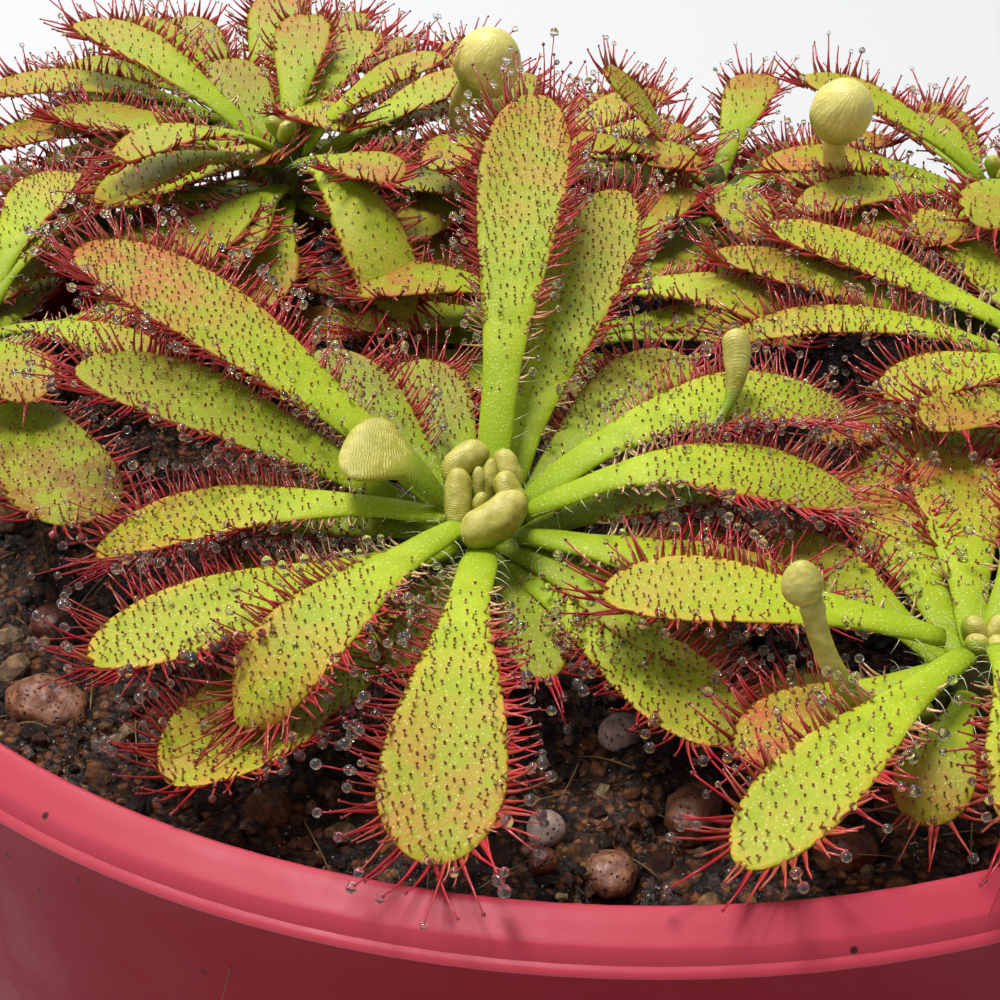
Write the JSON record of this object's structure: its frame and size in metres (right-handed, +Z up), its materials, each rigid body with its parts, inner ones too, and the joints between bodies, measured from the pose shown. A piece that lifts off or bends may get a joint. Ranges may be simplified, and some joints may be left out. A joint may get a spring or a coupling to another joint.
{
  "type": "potted sundew",
  "caption": "Round plastic pot of wet peat holding a low mound of sundew rosettes with flat paddle leaves and rolled-up young shoots.",
  "frame": {"origin": "middle of the pot's base, on the surface it stands on", "axes": "+Z up through the pot's mouth; -Y is the front, where the largest rosette leans to the rim"},
  "size_m": [0.094, 0.094, 0.1013],
  "materials": {
    "pot": "satin moulded plastic, dusty rose red",
    "peat": "wet near-black peat with amber and brown granules",
    "pumice": "rough pale pumice",
    "clod": "porous brown clod",
    "brown_stone": "dull pinkish brown stone",
    "leaf": "soft waxy leaf, lime green turning yellow and red",
    "young_leaf": "pale cream young leaf",
    "tentacle": "translucent crimson hair stalk",
    "gland": "dark maroon gland head",
    "dew": "clear sticky dew drop"
  },
  "bodies": {
    "root": {"brown_clod": "clod", "far_left_crown": "leaf", "far_right_bud": "young_leaf", "far_right_crown": "leaf", "front_right_crown": "leaf", "front_right_crozier": "young_leaf", "front_right_leaf_front_long": "leaf", "front_right_leaf_outer": "leaf", "front_right_leaf_over_main": "leaf", "front_right_leaf_red": "leaf", "front_right_leaf_short_front": "leaf", "front_right_leaf_short_left": "leaf", "inner_crozier": "young_leaf", "left_crown": "leaf", "left_leaf_front": "leaf", "left_leaf_rear": "leaf", "left_stone": "brown_stone", "main_coil_1": "young_leaf", "main_coil_2": "young_leaf", "main_coil_3": "young_leaf", "main_coil_4": "young_leaf", "main_coil_5": "young_leaf", "main_crown": "leaf", "main_leaf_front": "leaf", "main_leaf_front_left_broad": "leaf", "main_leaf_front_left_curled": "leaf", "main_leaf_front_right": "leaf", "main_leaf_left_low": "leaf", "main_leaf_left_narrow": "leaf", "main_leaf_rear": "leaf", "main_leaf_rear_left_long": "leaf", "main_leaf_rear_right": "leaf", "main_leaf_right_broad": "leaf", "main_leaf_right_long": "leaf", "main_leaf_right_lower": "leaf", "main_leaf_under_left": "leaf", "main_leaf_unfolding": "young_leaf", "middle_crown": "leaf", "middle_left_crown": "leaf", "middle_left_leaf_yellow": "leaf", "pot": "pot", "pumice_grain_front": "pumice", "pumice_grain_rear": "pumice", "rear_bud": "young_leaf", "rear_crown": "leaf", "rear_left_crown": "leaf", "rear_left_leaf_forward": "leaf", "rear_left_leaf_rear": "leaf", "rear_left_leaf_rear_left": "leaf", "rear_left_leaf_rear_right": "leaf", "rear_right_crown": "leaf", "rear_right_leaf_upright": "leaf", "right_crown": "leaf", "right_leaf_arching": "leaf", "right_leaf_front": "leaf", "right_leaf_low_front": "leaf", "right_leaf_low_long": "leaf", "right_leaf_rear_long": "leaf", "right_leaf_rear_right": "leaf", "soil": "peat"}
  },
  "joints": []
}
